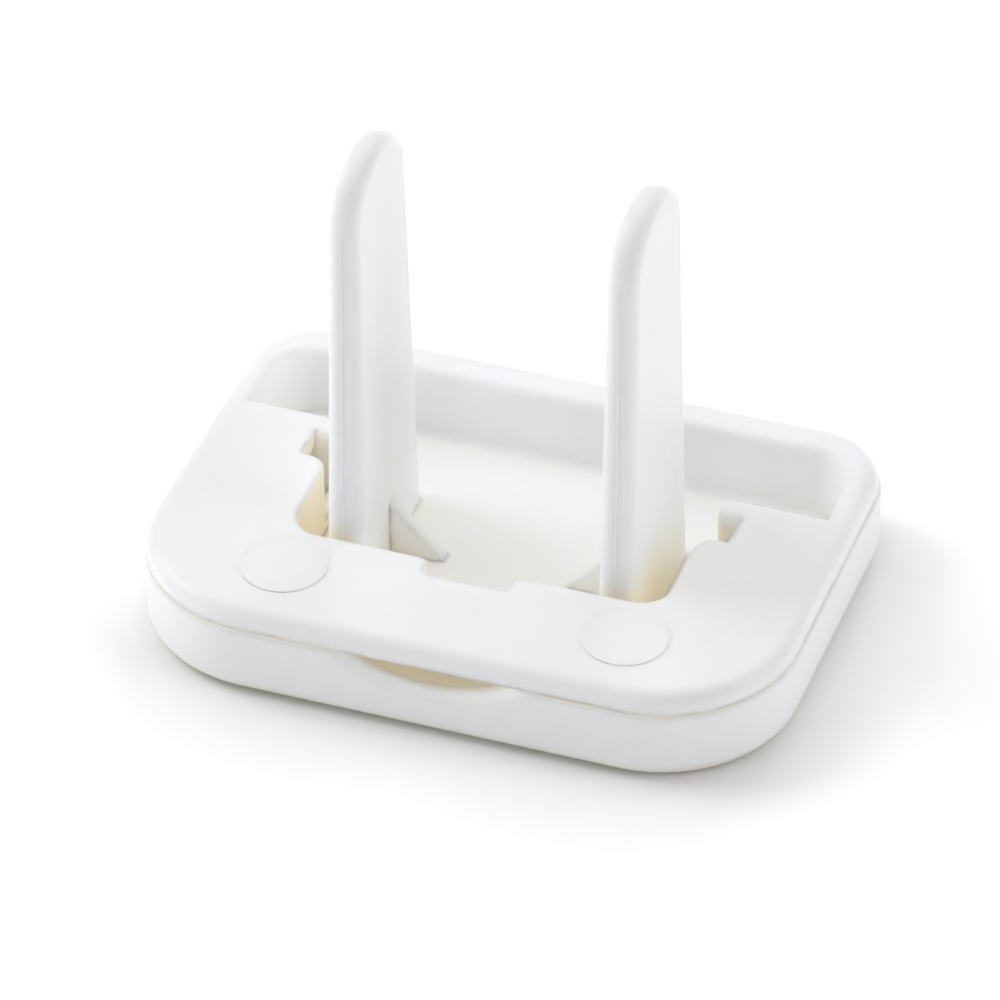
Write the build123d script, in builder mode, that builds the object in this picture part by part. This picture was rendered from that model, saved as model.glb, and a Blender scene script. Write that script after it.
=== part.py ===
from build123d import *
import os

os.makedirs("parts", exist_ok=True)

# Outlet safety cover, lying on its room-side face with the blades up. Millimetres, +Z up.
# Origin: the middle of the room-side face, on the table. The front (fingernail notch) is at -Y.

# Body
body_width = 30.0
body_depth = 21.4
front_corner_radius = 6.2
back_corner_radius = 3.4
plate_top = 4.65
seam_height = 3.62
seam_gap = 0.06
plate_edge_radius = 0.65
rim_edge_radius = 1.0
rim_blend_length = 3.6
rim_blend_clearance = 0.10
rim_blend_steps = 6

# Room-side shell
shell_proud = 0.08
shell_wall = 0.60
face_thickness = 0.55
face_edge_radius = 1.0
shell_lip_chamfer = 0.08
tray_clearance = 0.05

# Recess round the blades
pocket_side_clearance = 1.505
pocket_front_clearance = 0.525
pocket_corner_radius = 1.4
pocket_wall = 0.70
pocket_edge_chamfer = 0.10
step_half_width = 2.05
step_depth = 1.12
step_corner_radius = 0.40
floor_top = 1.05

# Trough and rim
side_rim = 1.30
back_rim = 2.15
trough_overlap = 0.075
trough_corner_radius = 2.0
trough_edge_radius = 0.40
trough_foot_radius = 0.40

# Windows beside the recess, and the post behind each
window_depth = 1.36
window_width = 1.70
window_bottom = 1.60
arm_corner_radius = 0.90
post_depth = 1.40
post_setback = 0.18
post_front_radius = 0.45
post_back_radius = 0.78

# Blades
blade_pitch = 12.70
blade_center_y = 0.11
blade_tip_z = 22.90
blade_arch_width = 6.48
blade_root_width = 8.03
blade_tip_thickness = 1.36
blade_root_thickness = 1.77
blade_arch_height = 2.70
blade_edge_radius = 0.58
blade_sink = 0.20

# Gussets
gusset_thickness = 0.70
gusset_toe_x = 2.93
gusset_toe_height = 0.12
gusset_edge_radius = 0.12

# Ejector marks on the front strip
ejector_x = 7.93
ejector_front_clearance = 1.75
ejector_pocket_clearance = 0.62
ejector_height = 0.04

# Fingernail notch
notch_center_z = 10.10
notch_outer_radius = 8.10
notch_inner_radius = 7.60
notch_bevel_depth = 0.33

plate_thickness = plate_top - seam_height
shell_top = seam_height - seam_gap
shell_width = body_width + 2 * shell_proud
shell_depth = body_depth + 2 * shell_proud
tray_inset = shell_wall + tray_clearance
rim_blend_end = body_depth / 2 - back_corner_radius - rim_blend_clearance
rim_blend_start = rim_blend_end - rim_blend_length

blade_root_z = floor_top - blade_sink
blade_arch_z = blade_tip_z - blade_arch_height
blade_front = blade_center_y - blade_root_width / 2
blade_back = blade_center_y + blade_root_width / 2

pocket_half_width = (blade_pitch + blade_root_thickness) / 2 + pocket_side_clearance
pocket_front = blade_front - pocket_front_clearance
trough_half_width = body_width / 2 - side_rim
trough_front = blade_back - trough_overlap
trough_back = body_depth / 2 - back_rim
window_half_width = pocket_half_width + window_depth
window_back = trough_front - post_depth
window_front = window_back - window_width
post_half_width = pocket_half_width + post_setback
strip_depth = pocket_front + body_depth / 2
ejector_diameter = strip_depth - ejector_front_clearance - ejector_pocket_clearance
ejector_y = pocket_front - ejector_pocket_clearance - ejector_diameter / 2


def plan(width, depth, front_radius, back_radius):
    """Outline with wide round corners in front and tighter ones at the back."""
    with BuildSketch() as outline:
        Rectangle(width, depth)
        fillet(outline.vertices().sort_by(Axis.Y)[:2], front_radius)
        fillet(outline.vertices().sort_by(Axis.Y)[-2:], back_radius)
    return outline.sketch


def round_near(sketch, points, radius):
    """Round the sketch corners that lie nearest to the given points."""
    for x, y in points:
        fillet(sketch.vertices().sort_by_distance((x, y, 0))[:1], radius)


def mirrored(x, y):
    return [(-x, y), (x, y)]


def slab(edge_radius):
    """The top of the body above the seam, with its upper edge rounded."""
    with BuildPart() as block:
        with BuildSketch(Plane.XY.offset(seam_height)):
            add(plan(body_width, body_depth, front_corner_radius, back_corner_radius))
        extrude(amount=plate_thickness)
        fillet(block.faces().sort_by(Axis.Z)[-1].outer_wire().edges(), edge_radius)
    return block.part


def between(part, y_from, y_to):
    """The slice of a part between two planes across it."""
    with BuildPart() as slice_:
        with Locations((0, (y_from + y_to) / 2, plate_top / 2)):
            Box(2 * body_width, y_to - y_from, 3 * plate_top)
        add(part, mode=Mode.INTERSECT)
    return slice_.part


def recess_outline(windows):
    """Pocket, step and trough seen from above; the windows are there in the upper part only."""
    pocket_length = trough_front - pocket_front + 1
    with BuildSketch() as outline:
        with Locations((0, pocket_front + pocket_length / 2)):
            Rectangle(2 * pocket_half_width, pocket_length)
        with Locations((0, (window_back + trough_front) / 2 + 0.5)):
            Rectangle(2 * post_half_width, trough_front - window_back + 1)
        with Locations((0, pocket_front - step_depth / 2 + 0.5)):
            Rectangle(2 * step_half_width, step_depth + 1)
        with Locations((0, (trough_front + trough_back) / 2)):
            Rectangle(2 * trough_half_width, trough_back - trough_front)
        if windows:
            with Locations((0, (window_front + window_back) / 2)):
                Rectangle(2 * window_half_width, window_back - window_front)
        round_near(outline, mirrored(pocket_half_width, pocket_front), pocket_corner_radius)
        round_near(outline, mirrored(step_half_width, pocket_front), step_corner_radius)
        round_near(outline, mirrored(step_half_width, pocket_front - step_depth), step_corner_radius)
        round_near(outline, mirrored(trough_half_width, trough_back), trough_corner_radius)
        round_near(outline, mirrored(post_half_width, trough_front), post_back_radius)
        if windows:
            round_near(outline, mirrored(post_half_width, window_back), post_front_radius)
            round_near(outline, mirrored(pocket_half_width, window_front), arm_corner_radius)
    return outline.sketch


def cove(length):
    """A hollow filler for the corner of a floor and a wall: it runs along X, and the wall stands at Y = 0."""
    with BuildPart() as filler:
        with BuildSketch(Plane.YZ):
            with Locations((-trough_foot_radius / 2, trough_foot_radius / 2)):
                Rectangle(trough_foot_radius, trough_foot_radius)
            with Locations((-trough_foot_radius, trough_foot_radius)):
                Circle(trough_foot_radius, mode=Mode.SUBTRACT)
        extrude(amount=length / 2, both=True)
    return filler.part


def upper_edge(part):
    """The edges of the recess in the plate's top face."""
    return part.faces().filter_by(Plane.XY).sort_by(Axis.Z)[-1].inner_wires()[0].edges()


def blade():
    """One blade at X = 0: drafted both ways, with an arched tip and rounded edges."""
    with BuildPart() as body:
        with BuildSketch(Plane.YZ) as side:
            with BuildLine():
                root, tip = blade_root_width / 2, blade_arch_width / 2
                Polyline((-tip, blade_arch_z), (-root, blade_root_z), (root, blade_root_z), (tip, blade_arch_z))
                EllipticalCenterArc((0, blade_arch_z), tip, blade_arch_height, start_angle=0, arc_size=180)
            make_face()
        extrude(amount=blade_root_thickness, both=True)
        with BuildSketch(Plane.XZ) as front:
            with BuildLine():
                root, tip = blade_root_thickness / 2, blade_tip_thickness / 2
                Polyline((-root, blade_root_z), (root, blade_root_z), (tip, blade_tip_z + 1),
                         (-tip, blade_tip_z + 1), close=True)
            make_face()
        extrude(amount=blade_root_width, both=True, mode=Mode.INTERSECT)
        wide = body.faces().sort_by(Axis.X)
        rims = [e for f in (wide[0], wide[-1]) for e in f.edges() if e.center().Z > blade_root_z + 0.01]
        fillet(rims, blade_edge_radius)
    return body.part


def gusset():
    """The rib on the left blade's inner side: a right triangle with a blunt toe."""
    heel_x = -blade_pitch / 2
    foot_x = -gusset_toe_x
    with BuildPart() as rib:
        with BuildSketch(Plane.XZ.offset(-blade_center_y)):
            with BuildLine():
                Polyline((heel_x, blade_root_z), (foot_x, blade_root_z), (foot_x, floor_top + gusset_toe_height),
                         (heel_x, floor_top + gusset_toe_height + foot_x - heel_x), close=True)
            make_face()
        extrude(amount=gusset_thickness / 2, both=True)
        slope = rib.faces().sort_by(Axis((0, 0, 0), (1, 0, 1)))[-1]
        fillet([e for e in slope.edges() if abs(e.tangent_at(0.5).Y) < 0.1], gusset_edge_radius)
    return rib.part


with BuildPart() as prong_plate:
    # The plate and the rim: the rounding of the upper edge swells smoothly from the arms to the back corners
    add(between(slab(plate_edge_radius), -body_depth, rim_blend_start))
    sections = []
    for step in range(rim_blend_steps + 1):
        share = step / rim_blend_steps
        swell = share ** 2 * (3 - 2 * share)
        with BuildSketch(Plane.XZ.offset(-rim_blend_start - share * rim_blend_length)) as section:
            with Locations((0, (seam_height + plate_top) / 2)):
                Rectangle(body_width, plate_thickness)
            fillet(section.vertices().sort_by(Axis.Y)[-2:],
                   plate_edge_radius + swell * (rim_edge_radius - plate_edge_radius))
        sections.append(section.sketch)
    loft(sections, ruled=True)
    add(between(slab(rim_edge_radius), rim_blend_end, body_depth))

    # The tray under it: walls round the pocket, and the trough block that fills the shell's back
    with BuildSketch(Plane.XY.offset(face_thickness)):
        with Locations((0, (pocket_front - pocket_wall + window_back) / 2)):
            Rectangle(2 * (pocket_half_width + pocket_wall), window_back - pocket_front + pocket_wall)
        with Locations((0, pocket_front - (step_depth + pocket_wall) / 2)):
            Rectangle(2 * (step_half_width + pocket_wall), step_depth + pocket_wall)
    extrude(amount=seam_height - face_thickness)
    with BuildSketch(Plane.XY.offset(face_thickness)):
        inner = 2 * tray_inset - 2 * shell_proud
        add(plan(body_width - inner, body_depth - inner,
                 front_corner_radius - inner / 2, back_corner_radius - inner / 2))
        with Locations((0, window_back - body_depth)):
            Rectangle(2 * body_width, 2 * body_depth, mode=Mode.SUBTRACT)
    extrude(amount=seam_height - face_thickness)

    # The recess, and the windows in its upper part
    with BuildSketch(Plane.XY.offset(floor_top)):
        add(recess_outline(windows=False))
    extrude(amount=plate_top, mode=Mode.SUBTRACT)
    with BuildSketch(Plane.XY.offset(window_bottom)):
        add(recess_outline(windows=True))
    extrude(amount=plate_top, mode=Mode.SUBTRACT)

    # The recess's upper edge: only broken round the blades, rounded on the posts, the arms and the rim
    chamfer([e for e in upper_edge(prong_plate) if e.center().Y < window_front + 0.01], pocket_edge_chamfer)
    fillet([e for e in upper_edge(prong_plate) if e.center().Y > window_back - 0.01], trough_edge_radius)

    # Coves where the floor meets the trough's walls; they run out into its round corners
    with Locations((0, trough_back, floor_top)):
        add(cove(2 * trough_half_width))
    for side in (-1, 1):
        with Locations(Location((side * trough_half_width, (trough_front + trough_back) / 2, floor_top),
                                (0, 0, -90 * side))):
            add(cove(trough_back - trough_front))

    # Ejector marks, a hair proud of the plate
    with Locations(*[(x, ejector_y, plate_top) for x in (-ejector_x, ejector_x)]):
        Cylinder(ejector_diameter / 2, 2 * ejector_height)

    # Blades and gussets
    with Locations(*[(x, blade_center_y, 0) for x in (-blade_pitch / 2, blade_pitch / 2)]):
        add(blade())
    left_rib = gusset()
    add(left_rib)
    add(mirror(left_rib, about=Plane.YZ))

with BuildPart() as face_shell:
    with BuildSketch():
        add(plan(shell_width, shell_depth, front_corner_radius + shell_proud, back_corner_radius + shell_proud))
    extrude(amount=shell_top)
    fillet(face_shell.faces().sort_by(Axis.Z)[0].outer_wire().edges(), face_edge_radius)
    chamfer(face_shell.faces().sort_by(Axis.Z)[-1].outer_wire().edges(), shell_lip_chamfer)
    with BuildSketch(Plane.XY.offset(face_thickness)):
        add(plan(shell_width - 2 * shell_wall, shell_depth - 2 * shell_wall,
                 front_corner_radius + shell_proud - shell_wall, back_corner_radius + shell_proud - shell_wall))
    extrude(amount=shell_top, mode=Mode.SUBTRACT)

    # Fingernail notch: a bevel into the wall's outside, then straight through
    outside = Plane(origin=(0, -shell_depth / 2, notch_center_z), x_dir=(1, 0, 0), z_dir=(0, 1, 0))
    with BuildSketch(outside):
        Circle(notch_outer_radius)
    with BuildSketch(outside.offset(notch_bevel_depth)):
        Circle(notch_inner_radius)
    loft(mode=Mode.SUBTRACT)
    with BuildSketch(outside.offset(-1)):
        Circle(notch_inner_radius)
    extrude(amount=1 + 2 * shell_wall, mode=Mode.SUBTRACT)

prong_plate.part.label = "prong_plate"
face_shell.part.label = "face_shell"
export_step(prong_plate.part, "parts/prong_plate.step")
export_step(face_shell.part, "parts/face_shell.step")
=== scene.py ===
import math

import bpy
import numpy as np
from bpy.props import FloatProperty, FloatVectorProperty, PointerProperty
from mathutils import Matrix, Vector


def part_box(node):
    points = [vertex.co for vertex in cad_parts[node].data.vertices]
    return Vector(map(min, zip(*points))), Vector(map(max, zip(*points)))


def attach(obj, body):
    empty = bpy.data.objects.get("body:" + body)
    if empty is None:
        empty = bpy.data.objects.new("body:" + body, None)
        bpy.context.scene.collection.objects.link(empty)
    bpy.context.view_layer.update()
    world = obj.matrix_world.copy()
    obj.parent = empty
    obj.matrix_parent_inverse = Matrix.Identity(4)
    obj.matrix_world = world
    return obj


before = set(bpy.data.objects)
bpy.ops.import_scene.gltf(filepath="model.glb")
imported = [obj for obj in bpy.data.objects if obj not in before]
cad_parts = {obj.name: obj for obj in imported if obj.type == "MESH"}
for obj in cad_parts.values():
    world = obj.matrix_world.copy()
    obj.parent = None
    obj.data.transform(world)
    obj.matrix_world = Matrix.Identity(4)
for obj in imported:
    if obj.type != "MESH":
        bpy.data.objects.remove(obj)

bl_info = {
    "name": "Outlet Cover Looks",
    "version": (1, 0, 0),
    "blender": (4, 5, 0),
    "location": "3D View > Sidebar > Outlet Cover",
    "description": "Gives the outlet safety cover its white plastic, its mould lines and a pale studio",
    "category": "Object",
}

MM = 0.001
PLATE, SHELL = "prong_plate", "face_shell"
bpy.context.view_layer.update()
plate_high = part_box(PLATE)[1]

# The blades, in millimetres. The arch is measured down from the top of the wall-side moulding
BLADE_PITCH = 12.70
BLADE_MIDDLE_Y = 0.11
BLADE_ARCH_HEIGHT = 2.70
BLADE_ROOT_Z = 1.05
BLADE_ARCH_Z = plate_high.z / MM - BLADE_ARCH_HEIGHT
BLADE_ROOT_HALF = 4.005
BLADE_ARCH_HALF = 3.24

# The grid of a mould line, and how it fades out at its ends
LINE_STEPS = 160
LINE_AROUND = 16
LINE_FADE_POWER = 0.25
LINE_FADE_END = 0.002

# The plastic: its index of refraction, the rays of its edge and hollow tests, the octaves of its ripple, and
# how open a place is, 0 to 1, where the painted warm shade of hollows is full and where it is gone
PLASTIC_IOR = 1.46
BEVEL_RAYS = 3
OPENNESS_RAYS = 4
RIPPLE_DETAIL = 2.0
HOLLOW_PAINTED_SHADE_FULL = 0.05
HOLLOW_PAINTED_SHADE_GONE = 0.50

# The floor, in metres, and how open it is where the contact shade is full and where it is gone
FLOOR_HALF = 1.5
CONTACT_FULL = 0.35
CONTACT_GONE = 1.0

# The camera: width of its sensor in millimetres, and the nearest and farthest things it sees, in metres
SENSOR_WIDTH = 36
CLIP_NEAR = 0.01
CLIP_FAR = 10

# The lamps: name, degrees round the cover from its front towards its right, degrees above the floor, watts,
# and whether it also shows in the gloss. Their size and distance are in metres
LAMPS = (
    ("left_key", 270, 40, 1.16, True),
    ("left_high", 270, 65, 0.16, True),
    ("back", 180, 32, 0.80, False),
    ("front_high", 0, 65, 0.16, True),
    ("right_low", 90, 15, 0.57, True),
    ("left_front_low", 315, 15, 0.57, True),
    ("right_high", 90, 40, 0.51, True),
    ("front_low", 0, 15, 0.29, True),
    ("right_back", 135, 40, 0.42, False),
    ("left_back", 225, 40, 0.40, False),
)
LAMP_SIZE = 0.30
LAMP_DISTANCE = 0.50


# Settings

class PlasticSettings(bpy.types.PropertyGroup):
    """The finish of both mouldings."""
    colour: FloatVectorProperty(
        name="Colour", description="Plain colour of the white plastic",
        subtype="COLOR", size=3, min=0, max=1, default=(0.903, 0.921, 0.95))
    # Painted shade: a warmer colour painted into hollows and corners, standing in for their shade and warm
    # bounced light
    hollow_painted_shade_colour: FloatVectorProperty(
        name="Crevice colour", description="Warmer colour of the plastic deep in corners and hollows",
        subtype="COLOR", size=3, min=0, max=1, default=(0.92, 0.86, 0.72))
    # How far away the walls of a hollow still bring that painted shade
    hollow_painted_shade_reach: FloatProperty(
        name="Crevice reach", description="How near the walls of a hollow are for the warmer colour",
        unit="LENGTH", default=4.0 * MM, min=0)
    milkiness: FloatProperty(
        name="Milkiness", description="Share of the light that spreads inside the plastic",
        default=0.5, min=0, max=1)
    depth: FloatProperty(
        name="Light depth", description="How far light spreads inside the plastic",
        unit="LENGTH", default=0.45 * MM, min=0)
    spread: FloatVectorProperty(
        name="Spread", description="Share of the light depth for red, green and blue",
        size=3, default=(1.0, 0.88, 0.76), min=0)
    edge_softness: FloatProperty(
        name="Edge softness", description="Radius over which sharp edges catch the light as if worn round",
        unit="LENGTH", default=0.42 * MM, min=0)
    shine_through: FloatVectorProperty(
        name="Shine through", description="Share of the lamps' light that passes each surface of the plate",
        subtype="COLOR", size=3, min=0, max=1, default=(0.61, 0.575, 0.49))
    roughness: FloatProperty(
        name="Roughness", description="Roughness of the moulded gloss", default=0.34, min=0, max=1)
    ripple_size: FloatProperty(
        name="Ripple size", description="Width of the faint ripple of the moulded faces",
        unit="LENGTH", default=2.4 * MM, min=0)
    ripple_height: FloatProperty(
        name="Ripple height", description="Height of the faint ripple",
        unit="LENGTH", default=0.004 * MM, min=0)


class MouldLineSettings(bpy.types.PropertyGroup):
    """The fine parting line down the middle of each blade's narrow edges."""
    width: FloatProperty(
        name="Line width", description="Width of the parting line",
        unit="LENGTH", default=0.10 * MM, min=0)
    height: FloatProperty(
        name="Line height", description="How far the line stands proud of the edge",
        unit="LENGTH", default=0.025 * MM, min=0)


class StageSettings(bpy.types.PropertyGroup):
    """The floor and the camera."""
    azimuth: FloatProperty(
        name="Camera azimuth", description="Camera's turn to the right of the front",
        subtype="ANGLE", default=math.radians(19.618))
    elevation: FloatProperty(
        name="Camera elevation", description="Camera's angle above the floor",
        subtype="ANGLE", default=math.radians(37.622))
    roll: FloatProperty(
        name="Camera roll", description="Camera's turn about its own axis",
        subtype="ANGLE", default=math.radians(-0.483))
    distance: FloatProperty(
        name="Camera distance", description="From the camera to its target",
        unit="LENGTH", default=320.04 * MM)
    target: FloatVectorProperty(
        name="Camera target", description="Point in the middle of the picture",
        subtype="TRANSLATION", unit="LENGTH", default=(-0.444 * MM, 0.429 * MM, 4.717 * MM))
    lens: FloatProperty(
        name="Lens", description="Focal length in millimetres on a 36 mm sensor", default=258.63, min=1)
    floor_colour: FloatVectorProperty(
        name="Floor colour", description="Colour of the pale floor",
        subtype="COLOR", size=3, min=0, max=1, default=(0.93, 0.93, 0.93))
    floor_lift: FloatProperty(
        name="Floor lift", description="How much lighter the camera sees the floor",
        default=1.18, min=0)
    contact_reach: FloatProperty(
        name="Contact reach", description="How far the shade at the foot spreads",
        unit="LENGTH", default=3.0 * MM, min=0)
    contact_shade: FloatProperty(
        name="Contact shade", description="How much of its colour the floor keeps there",
        default=0.80, min=0, max=1)


# Materials

class NodeTree:
    """Small helper that adds and links shader nodes."""

    def __init__(self, material):
        material.use_nodes = True
        self.tree = material.node_tree
        self.tree.nodes.clear()

    def add(self, kind, inputs=None, **settings):
        """A node of that kind. An input is known by its label or place, and takes a value or a socket."""
        node = self.tree.nodes.new(kind)
        for name, value in settings.items():
            setattr(node, name, value)
        for name, value in (inputs or {}).items():
            socket = (node.inputs[name] if isinstance(name, int)
                      else next(i for i in node.inputs if i.name == name and i.enabled))
            if isinstance(value, bpy.types.NodeSocket):
                self.tree.links.new(value, socket)
            else:
                socket.default_value = value
        return node

    @staticmethod
    def out(node, name):
        """The live output of that name: a Mix node has one for each kind of data."""
        return next(o for o in node.outputs if o.name == name and o.enabled)


def ripple_normal(nodes, settings, soft_edge=None):
    """The faint ripple of a moulded face, as a normal that starts from the given one."""
    place = nodes.add("ShaderNodeTexCoord").outputs["Object"]
    ripple = nodes.add("ShaderNodeTexNoise", {
        "Vector": place, "Scale": 1 / settings.ripple_size, "Detail": RIPPLE_DETAIL})
    bump = nodes.add("ShaderNodeBump", {
        "Height": ripple.outputs["Fac"], "Distance": settings.ripple_height, "Strength": 1.0})
    if soft_edge is not None:
        nodes.tree.links.new(soft_edge, bump.inputs["Normal"])
    return bump.outputs["Normal"]


def moulded_plastic(settings, name, shines_through):
    """White moulded plastic: light goes a little way in, the gloss ripples, and hollows get a painted warm
    shade.

    Where it shines through, the lamps' light also passes the walls, so the hollows behind them stay light.
    """
    material = bpy.data.materials.new(name)
    nodes = NodeTree(material)
    soft_edge = nodes.add("ShaderNodeBevel", {"Radius": settings.edge_softness}, samples=BEVEL_RAYS)
    # Painted shade: where the surface is enclosed, its colour is mixed towards the warm hollow colour,
    # standing in for shade and bounced light
    openness = nodes.add("ShaderNodeAmbientOcclusion", {"Distance": settings.hollow_painted_shade_reach},
                         samples=OPENNESS_RAYS)
    painted_shade_amount = nodes.add("ShaderNodeMapRange", {
        "Value": openness.outputs["AO"], "From Min": HOLLOW_PAINTED_SHADE_FULL, "From Max": HOLLOW_PAINTED_SHADE_GONE,
        "To Min": 1.0, "To Max": 0.0}, interpolation_type="SMOOTHSTEP")
    colour = nodes.add("ShaderNodeMix", {
        "Factor": painted_shade_amount.outputs["Result"], "A": (*settings.colour, 1),
        "B": (*settings.hollow_painted_shade_colour, 1)}, data_type="RGBA")
    surface = nodes.add("ShaderNodeBsdfPrincipled", {
        "Base Color": nodes.out(colour, "Result"), "Roughness": settings.roughness, "IOR": PLASTIC_IOR,
        "Subsurface Weight": settings.milkiness, "Subsurface Radius": tuple(settings.spread),
        "Subsurface Scale": settings.depth,
        "Normal": ripple_normal(nodes, settings, soft_edge.outputs["Normal"])})
    if shines_through:
        thin = nodes.add("ShaderNodeBsdfTransparent", {"Color": (*settings.shine_through, 1)})
        lamp_ray = nodes.add("ShaderNodeLightPath").outputs["Is Shadow Ray"]
        surface = nodes.add("ShaderNodeMixShader", {
            0: lamp_ray, 1: surface.outputs["BSDF"], 2: thin.outputs["BSDF"]})
    nodes.add("ShaderNodeOutputMaterial", {"Surface": surface.outputs[0]})
    return material


def line_plastic(settings, name):
    """The same plastic on a line too fine for light to go into."""
    material = bpy.data.materials.new(name)
    nodes = NodeTree(material)
    surface = nodes.add("ShaderNodeBsdfPrincipled", {
        "Base Color": (*settings.colour, 1), "Roughness": settings.roughness, "IOR": PLASTIC_IOR,
        "Normal": ripple_normal(nodes, settings)})
    nodes.add("ShaderNodeOutputMaterial", {"Surface": surface.outputs["BSDF"]})
    return material


def pale_floor(settings):
    """A matt floor that the camera and glossy rays see lighter than the lamps' light does.

    It darkens a little where the cover stands on it.
    """
    material = bpy.data.materials.new("pale_floor")
    nodes = NodeTree(material)
    path = nodes.add("ShaderNodeLightPath")
    straight = nodes.add("ShaderNodeMath", {
        0: path.outputs["Is Camera Ray"], 1: path.outputs["Is Glossy Ray"]}, operation="MAXIMUM")
    seen = nodes.add("ShaderNodeMath", {
        0: straight.outputs[0], 1: path.outputs["Is Transmission Ray"]}, operation="MAXIMUM")
    colour = nodes.add("ShaderNodeMix", {
        "Factor": seen.outputs[0], "A": (*settings.floor_colour, 1),
        "B": (*(settings.floor_lift * c for c in settings.floor_colour), 1)}, data_type="RGBA")
    openness = nodes.add("ShaderNodeAmbientOcclusion", {"Distance": settings.contact_reach},
                         samples=OPENNESS_RAYS)
    contact = nodes.add("ShaderNodeMapRange", {
        "Value": openness.outputs["AO"], "From Min": CONTACT_FULL, "From Max": CONTACT_GONE,
        "To Min": settings.contact_shade, "To Max": 1.0}, interpolation_type="SMOOTHSTEP")
    shaded = nodes.add("ShaderNodeMix", {
        "Factor": contact.outputs["Result"], "A": (0, 0, 0, 1), "B": nodes.out(colour, "Result")},
        data_type="RGBA")
    surface = nodes.add("ShaderNodeBsdfDiffuse", {"Color": nodes.out(shaded, "Result")})
    nodes.add("ShaderNodeOutputMaterial", {"Surface": surface.outputs["BSDF"]})
    return material


# Meshes

def mesh_piece(name, points, faces, material):
    """A smooth-shaded piece in metres from arrays of millimetres, riding on the cover's one body."""
    mesh = bpy.data.meshes.new(name)
    mesh.from_pydata((np.asarray(points) * MM).tolist(), [], [list(face) for face in faces])
    mesh.validate()
    mesh.polygons.foreach_set("use_smooth", np.ones(len(mesh.polygons), bool))
    mesh.materials.append(material)
    piece = bpy.data.objects.new(name, mesh)
    bpy.context.scene.collection.objects.link(piece)
    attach(piece, "root")
    return piece


def grid_faces(rows, columns):
    """Quads of a grid whose columns close on themselves, with a flat cap at each end row."""
    row, column = np.meshgrid(np.arange(rows - 1), np.arange(columns), indexing="ij")
    here, beside = row * columns + column, row * columns + (column + 1) % columns
    quads = np.stack([here, beside, beside + columns, here + columns], -1).reshape(-1, 4).tolist()
    last = (rows - 1) * columns
    return quads + [list(range(columns))[::-1], list(range(last, last + columns))]


def bead(centre_x, edge_y, start_z, end_z, facing, width, height):
    """A fine bead up a blade's narrow edge.

    Along u the centre follows a straight line on the edge, from the root to the start of the arch. Across v
    the section is a half-buried ellipse: x = w/2 cos(v), proud = h sin(v). Both w and h fade as
    sin(pi u)^(1/4) towards both ends.
    """
    u = np.linspace(0, 1, LINE_STEPS)[:, None]
    v = np.linspace(0, 2 * np.pi, LINE_AROUND, endpoint=False)[None, :]
    within = np.clip(u, LINE_FADE_END, 1 - LINE_FADE_END)
    fade = np.clip(np.sin(np.pi * within), 0, 1) ** LINE_FADE_POWER
    z = start_z + u * (end_z - start_z) + 0 * v
    x = centre_x + width / 2 * fade * np.cos(v) + 0 * u
    y = np.interp(z, (start_z, end_z), edge_y) + facing * height * fade * np.sin(v)
    return np.stack([x, y, z], -1).reshape(-1, 3), grid_faces(LINE_STEPS, LINE_AROUND)


# Operators

class OUTLETCOVER_OT_plastic(bpy.types.Operator):
    """Dress both mouldings in the white plastic"""
    bl_idname = "outletcover.plastic"
    bl_label = "White Plastic"

    def execute(self, context):
        settings = context.scene.outlet_cover_plastic
        for name, shines_through in ((PLATE, True), (SHELL, False)):
            material = moulded_plastic(settings, f"white_plastic_{name}", shines_through)
            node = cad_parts[name]
            if not node.material_slots:
                raise RuntimeError(f"{name} has no material slot")
            for slot in node.material_slots:
                slot.material = material
        return {"FINISHED"}


class OUTLETCOVER_OT_mould_lines(bpy.types.Operator):
    """Run a fine parting line up the narrow edges of both blades"""
    bl_idname = "outletcover.mould_lines"
    bl_label = "Mould Lines"

    def execute(self, context):
        settings = context.scene.outlet_cover_mould_lines
        material = line_plastic(context.scene.outlet_cover_plastic, "white_plastic_line")
        for side in (-1, 1):
            points, faces = [], []
            for facing in (-1, 1):
                edge = [BLADE_MIDDLE_Y + facing * half for half in (BLADE_ROOT_HALF, BLADE_ARCH_HALF)]
                some, quads = bead(side * BLADE_PITCH / 2, edge, BLADE_ROOT_Z, BLADE_ARCH_Z, facing,
                                   settings.width / MM, settings.height / MM)
                faces += [[i + sum(map(len, points)) for i in quad[::facing]] for quad in quads]
                points.append(some)
            mesh_piece(f"blade_mould_line_{'left' if side < 0 else 'right'}",
                       np.concatenate(points), faces, material)
        return {"FINISHED"}


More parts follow.
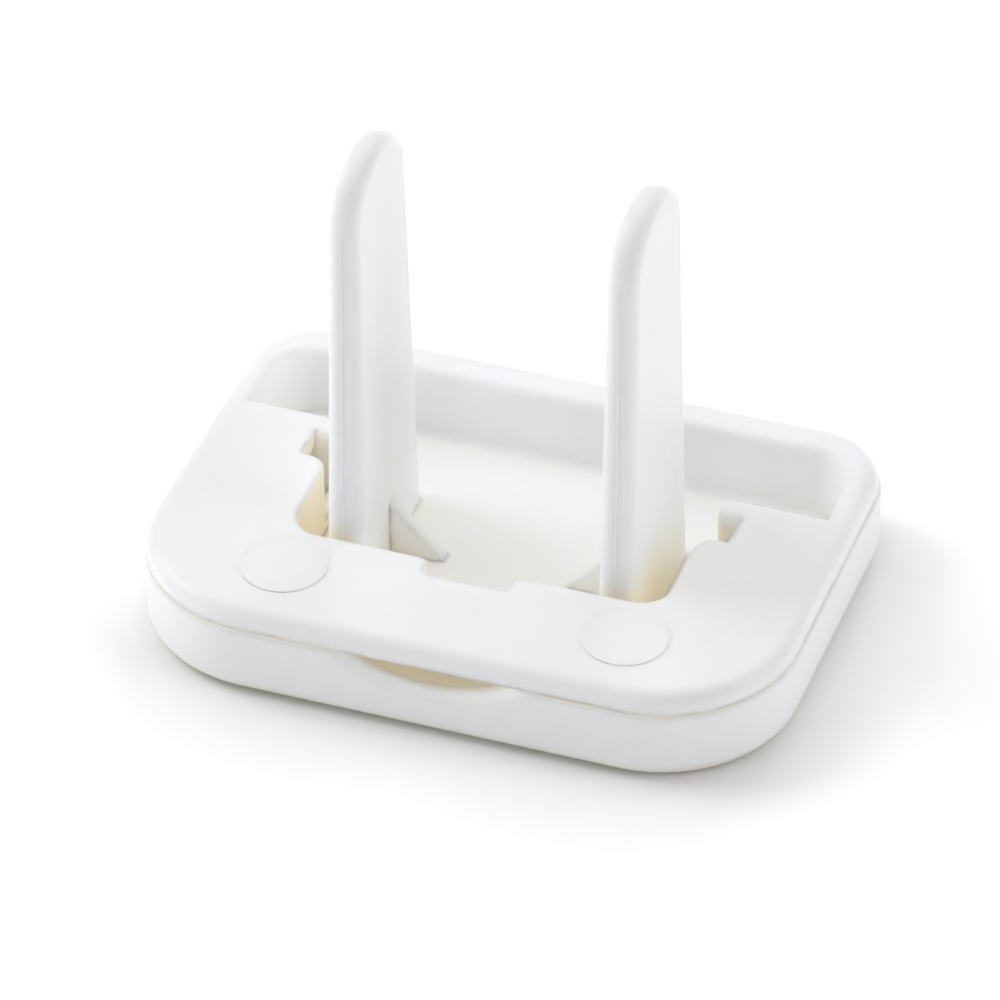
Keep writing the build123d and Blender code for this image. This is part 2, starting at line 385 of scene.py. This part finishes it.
class OUTLETCOVER_OT_stage(bpy.types.Operator):
    """Set the floor, the lamps, the world and the camera"""
    bl_idname = "outletcover.stage"
    bl_label = "Studio"

    def execute(self, context):
        settings = context.scene.outlet_cover_stage
        scene = context.scene
        scene.view_settings.view_transform = "Standard"
        self.camera(scene, settings)
        self.floor(scene, settings)
        self.world(scene)
        self.lamps(scene)
        return {"FINISHED"}

    def camera(self, scene, settings):
        data = bpy.data.cameras.new("camera")
        data.lens, data.sensor_width = settings.lens, SENSOR_WIDTH
        data.clip_start, data.clip_end = CLIP_NEAR, CLIP_FAR
        camera = bpy.data.objects.new("camera", data)
        scene.collection.objects.link(camera)
        turn = (Matrix.Rotation(settings.azimuth, 4, "Z")
                @ Matrix.Rotation(math.pi / 2 - settings.elevation, 4, "X")
                @ Matrix.Rotation(settings.roll, 4, "Z"))
        back = turn.to_3x3() @ Vector((0, 0, 1))
        camera.matrix_world = Matrix.Translation(Vector(settings.target) + back * settings.distance) @ turn
        scene.camera = camera

    def floor(self, scene, settings):
        corners = [(FLOOR_HALF * x, FLOOR_HALF * y, 0) for x, y in ((-1, -1), (1, -1), (1, 1), (-1, 1))]
        mesh = bpy.data.meshes.new("floor")
        mesh.from_pydata(corners, [], [(0, 1, 2, 3)])
        mesh.materials.append(pale_floor(settings))
        floor = bpy.data.objects.new("floor", mesh)
        scene.collection.objects.link(floor)

    def world(self, scene):
        """A dark world: all the light comes from the lamps."""
        world = bpy.data.worlds.new("studio")
        scene.world = world
        world.use_nodes = True
        world.node_tree.nodes["Background"].inputs["Color"].default_value = (1, 1, 1, 1)
        world.node_tree.nodes["Background"].inputs["Strength"].default_value = 0.0

    def lamps(self, scene):
        """Round soft lamps that all face the cover from the same distance."""
        for name, azimuth, elevation, watts, glossy in LAMPS:
            data = bpy.data.lights.new(name, "AREA")
            data.shape, data.size, data.energy = "DISK", LAMP_SIZE, watts
            around, above = math.radians(azimuth), math.radians(elevation)
            place = LAMP_DISTANCE * Vector((math.sin(around) * math.cos(above),
                                            -math.cos(around) * math.cos(above), math.sin(above)))
            facing = place.to_track_quat("Z", "Y").to_matrix().to_4x4()
            lamp = bpy.data.objects.new(name, data)
            lamp.matrix_world = Matrix.Translation(place) @ facing
            lamp.visible_glossy = glossy
            scene.collection.objects.link(lamp)


class OUTLETCOVER_PT_panel(bpy.types.Panel):
    """Lists the looks of the outlet cover"""
    bl_idname = "OUTLETCOVER_PT_panel"
    bl_label = "Outlet Cover"
    bl_space_type = "VIEW_3D"
    bl_region_type = "UI"
    bl_category = "Outlet Cover"

    def draw(self, context):
        for group, operators in GROUPS:
            box = self.layout.box()
            settings = getattr(context.scene, group)
            for name in settings.bl_rna.properties.keys():
                if name not in ("rna_type", "name"):
                    box.prop(settings, name)
            for operator in operators:
                box.operator(operator)


GROUPS = (
    ("outlet_cover_plastic", ("outletcover.plastic",)),
    ("outlet_cover_mould_lines", ("outletcover.mould_lines",)),
    ("outlet_cover_stage", ("outletcover.stage",)),
)
CLASSES = (
    PlasticSettings, MouldLineSettings, StageSettings,
    OUTLETCOVER_OT_plastic, OUTLETCOVER_OT_mould_lines, OUTLETCOVER_OT_stage,
    OUTLETCOVER_PT_panel,
)


def register():
    for item in CLASSES:
        bpy.utils.register_class(item)
    bpy.types.Scene.outlet_cover_plastic = PointerProperty(type=PlasticSettings)
    bpy.types.Scene.outlet_cover_mould_lines = PointerProperty(type=MouldLineSettings)
    bpy.types.Scene.outlet_cover_stage = PointerProperty(type=StageSettings)


def unregister():
    del bpy.types.Scene.outlet_cover_stage
    del bpy.types.Scene.outlet_cover_mould_lines
    del bpy.types.Scene.outlet_cover_plastic
    for item in reversed(CLASSES):
        bpy.utils.unregister_class(item)


def main():
    register()
    bpy.ops.outletcover.plastic()
    bpy.ops.outletcover.mould_lines()
    bpy.ops.outletcover.stage()


if __name__ == "__main__":
    main()
